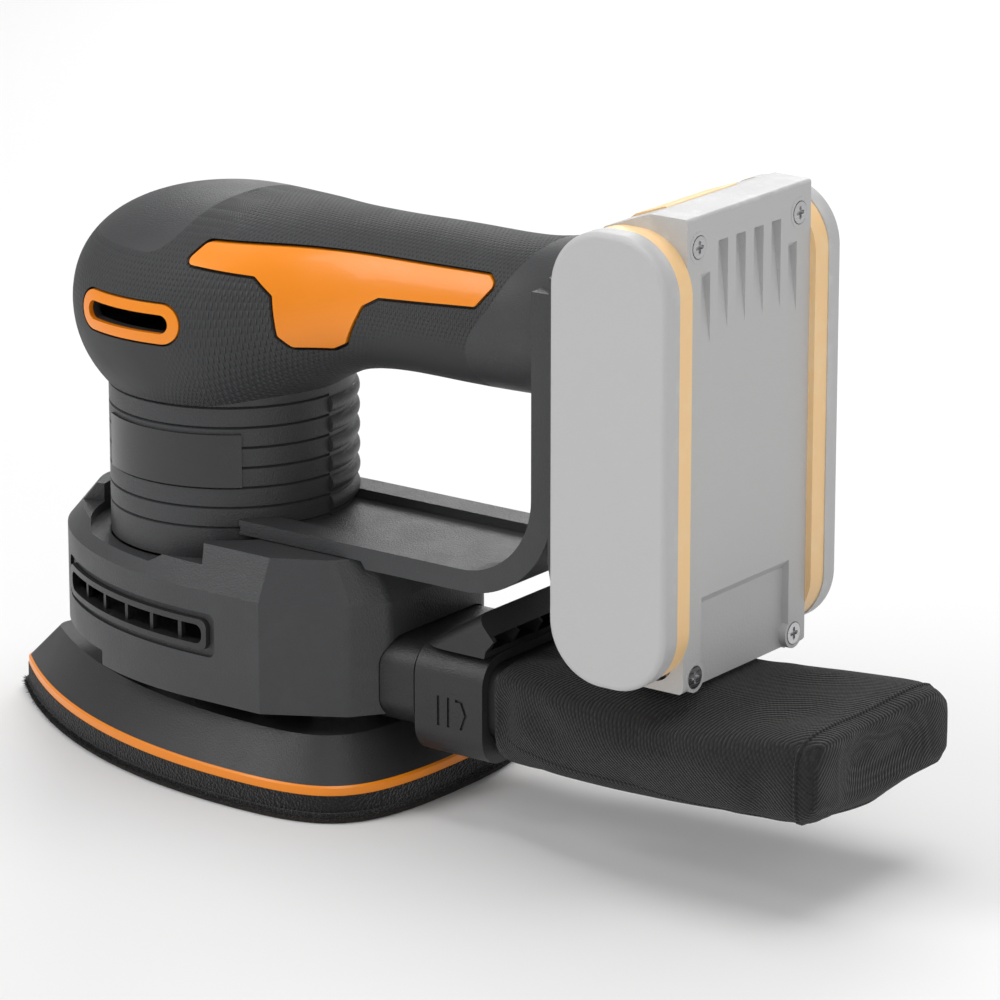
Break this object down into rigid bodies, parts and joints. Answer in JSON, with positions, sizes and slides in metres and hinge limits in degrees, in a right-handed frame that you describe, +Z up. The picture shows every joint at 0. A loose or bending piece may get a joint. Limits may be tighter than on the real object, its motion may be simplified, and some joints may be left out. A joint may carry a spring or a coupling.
{
  "type": "orbital sander",
  "caption": "Cordless palm-grip orbital detail sander with D-shaped handguard, iron-shaped pad, rear dust bag and slide-on battery pack.",
  "frame": {"origin": "motor axis where it meets the working face of the abrasive sheet", "axes": "+Z up along the motor axis, +X towards the battery and dust bag, -X towards the pad's nose, +Y the tool's right side"},
  "size_m": [0.2793, 0.093, 0.1715],
  "materials": {
    "charcoal_plastic": "satin",
    "rubber_grip": "matte",
    "orange_plastic": "satin",
    "badge_plastic": "gloss",
    "black_plastic": "satin",
    "circuit_board": "satin",
    "bright_steel": "satin",
    "dark_steel": "satin",
    "magnet_ferrite": "matte",
    "carbon": "matte",
    "copper_wire": "gloss",
    "abrasive_sheet": "matte",
    "hook_fabric": "matte",
    "pad_foam": "matte",
    "rubber_black": "matte",
    "bag_cloth": "matte",
    "contact_brass": "satin",
    "battery_grey": "satin",
    "battery_band": "satin",
    "cell_steel": "gloss"
  },
  "bodies": {
    "tool": {"housing_left": "charcoal_plastic", "housing_right": "charcoal_plastic", "grip_left": "rubber_grip", "grip_right": "rubber_grip", "side_inlay_left": "orange_plastic", "side_inlay_right": "orange_plastic", "vent_ring_left": "orange_plastic", "vent_ring_right": "orange_plastic", "head_cap": "charcoal_plastic", "housing_screws": "dark_steel", "badge": "badge_plastic", "switch_bezel": "black_plastic", "switch_body": "black_plastic", "control_board": "circuit_board", "motor_can": "bright_steel", "motor_magnets": "magnet_ferrite", "brush_end": "black_plastic", "carbon_brushes": "carbon", "motor_bearings": "bright_steel", "lower_bearing": "bright_steel", "base_housing": "charcoal_plastic", "side_grille_left": "black_plastic", "side_grille_right": "black_plastic", "bearing_plate": "black_plastic", "base_screws": "dark_steel", "dust_duct": "black_plastic", "duct_seal": "rubber_black", "battery_receiver": "charcoal_plastic", "receiver_contacts": "contact_brass"},
    "rotor": {"motor_shaft": "bright_steel", "armature": "dark_steel", "windings": "copper_wire", "commutator": "copper_wire", "fan": "black_plastic", "eccentric": "dark_steel", "pad_screw": "dark_steel"},
    "pad": {"pad_bearing": "bright_steel", "pad_base": "black_plastic", "trim_ring": "orange_plastic", "foam_pad": "pad_foam", "hook_layer": "hook_fabric", "sanding_sheet": "abrasive_sheet", "pad_legs": "rubber_black"},
    "switch": {"switch_button": "orange_plastic"},
    "bag": {"bag_collar": "black_plastic", "bag_louvre": "black_plastic", "bag_ring": "black_plastic", "dust_bag": "bag_cloth"},
    "battery": {"battery_core": "battery_grey", "battery_screws": "bright_steel", "battery_band_left": "battery_band", "battery_band_right": "battery_band", "battery_cap_left": "battery_grey", "battery_cap_right": "battery_grey", "battery_cells": "cell_steel", "cell_holders": "battery_grey", "battery_rail": "battery_grey", "battery_contacts": "contact_brass"},
    "release": {"release_button": "battery_band"}
  },
  "joints": [
    {"name": "motor_spin", "type": "hinge", "parent": "tool", "child": "rotor", "pos_m": [0, 0, 0.06], "axis": [0, 0, 1], "continuous": true},
    {"name": "pad_orbit", "type": "hinge", "parent": "rotor", "child": "pad", "pos_m": [0.001, 0, 0.02], "axis": [0, 0, 1], "continuous": true},
    {"name": "switch_slide", "type": "slide", "parent": "tool", "child": "switch", "axis": [0.891, -0.454, 0], "range_m": [0, 0.005]},
    {"name": "bag_slide", "type": "slide", "parent": "tool", "child": "bag", "axis": [1, 0, 0], "range_m": [0, 0.024]},
    {"name": "battery_slide", "type": "slide", "parent": "tool", "child": "battery", "axis": [0, 0, 1], "range_m": [0, 0.095]},
    {"name": "release_press", "type": "slide", "parent": "battery", "child": "release", "axis": [0, 0, -1], "range_m": [0, 0.0025], "stiffness_N_per_m": 1500}
  ],
  "couplings": [
    {"joint": "pad_orbit", "follows": "motor_spin", "ratio": -1}
  ]
}
